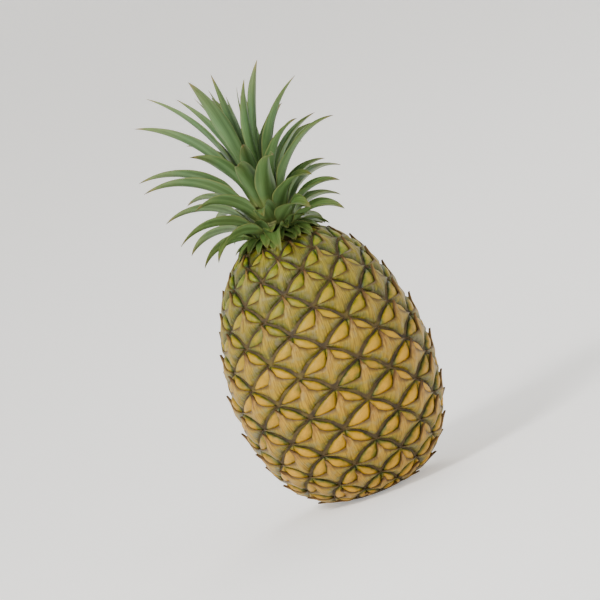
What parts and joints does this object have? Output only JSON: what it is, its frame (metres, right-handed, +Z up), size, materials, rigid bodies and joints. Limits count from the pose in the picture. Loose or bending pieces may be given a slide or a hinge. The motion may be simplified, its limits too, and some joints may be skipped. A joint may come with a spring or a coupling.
{
  "type": "pineapple",
  "caption": "Whole pineapple standing upright: egg-shaped fruit covered in spiralling star-like eyes, topped by a crown of long arching folded leaves.",
  "frame": {"origin": "centre of the flat spot that the fruit stands on, on the fruit's axis", "axes": "+Z up along the fruit's axis towards the crown, -Y the front of the fruit, +X to the right seen from the front"},
  "size_m": [0.1344, 0.1377, 0.2772],
  "materials": {
    "rind": "waxy, rough",
    "cut_stalk": "dry cut fibre",
    "crown_stem": "matte",
    "crown_leaf": "waxy, satin"
  },
  "bodies": {
    "root": {"fruit": "rind", "cut_stalk": "cut_stalk", "crown_stem": "crown_stem", "crown_leaf_01": "crown_leaf", "crown_leaf_02": "crown_leaf", "crown_leaf_03": "crown_leaf", "crown_leaf_04": "crown_leaf", "crown_leaf_05": "crown_leaf", "crown_leaf_06": "crown_leaf", "crown_leaf_07": "crown_leaf", "crown_leaf_08": "crown_leaf", "crown_leaf_09": "crown_leaf", "crown_leaf_10": "crown_leaf", "crown_leaf_11": "crown_leaf", "crown_leaf_12": "crown_leaf", "crown_leaf_13": "crown_leaf", "crown_leaf_14": "crown_leaf", "crown_leaf_15": "crown_leaf", "crown_leaf_16": "crown_leaf", "crown_leaf_17": "crown_leaf", "crown_leaf_18": "crown_leaf", "crown_leaf_19": "crown_leaf", "crown_leaf_20": "crown_leaf", "crown_leaf_21": "crown_leaf", "crown_leaf_22": "crown_leaf", "crown_leaf_23": "crown_leaf", "crown_leaf_24": "crown_leaf", "crown_leaf_25": "crown_leaf", "crown_leaf_26": "crown_leaf", "crown_leaf_27": "crown_leaf", "crown_leaf_28": "crown_leaf", "crown_leaf_29": "crown_leaf", "crown_leaf_30": "crown_leaf", "crown_leaf_31": "crown_leaf", "crown_leaf_32": "crown_leaf", "crown_leaf_33": "crown_leaf", "crown_leaf_34": "crown_leaf", "crown_leaf_35": "crown_leaf", "crown_leaf_36": "crown_leaf", "crown_leaf_37": "crown_leaf", "crown_leaf_38": "crown_leaf", "crown_leaf_39": "crown_leaf", "crown_leaf_40": "crown_leaf", "crown_leaf_41": "crown_leaf", "crown_leaf_42": "crown_leaf", "crown_leaf_43": "crown_leaf", "crown_leaf_44": "crown_leaf", "crown_leaf_45": "crown_leaf", "crown_leaf_46": "crown_leaf", "crown_leaf_47": "crown_leaf", "crown_leaf_48": "crown_leaf", "crown_leaf_49": "crown_leaf", "crown_leaf_50": "crown_leaf", "crown_leaf_51": "crown_leaf", "crown_leaf_52": "crown_leaf", "crown_leaf_53": "crown_leaf", "crown_leaf_54": "crown_leaf", "crown_leaf_55": "crown_leaf"}
  },
  "joints": []
}
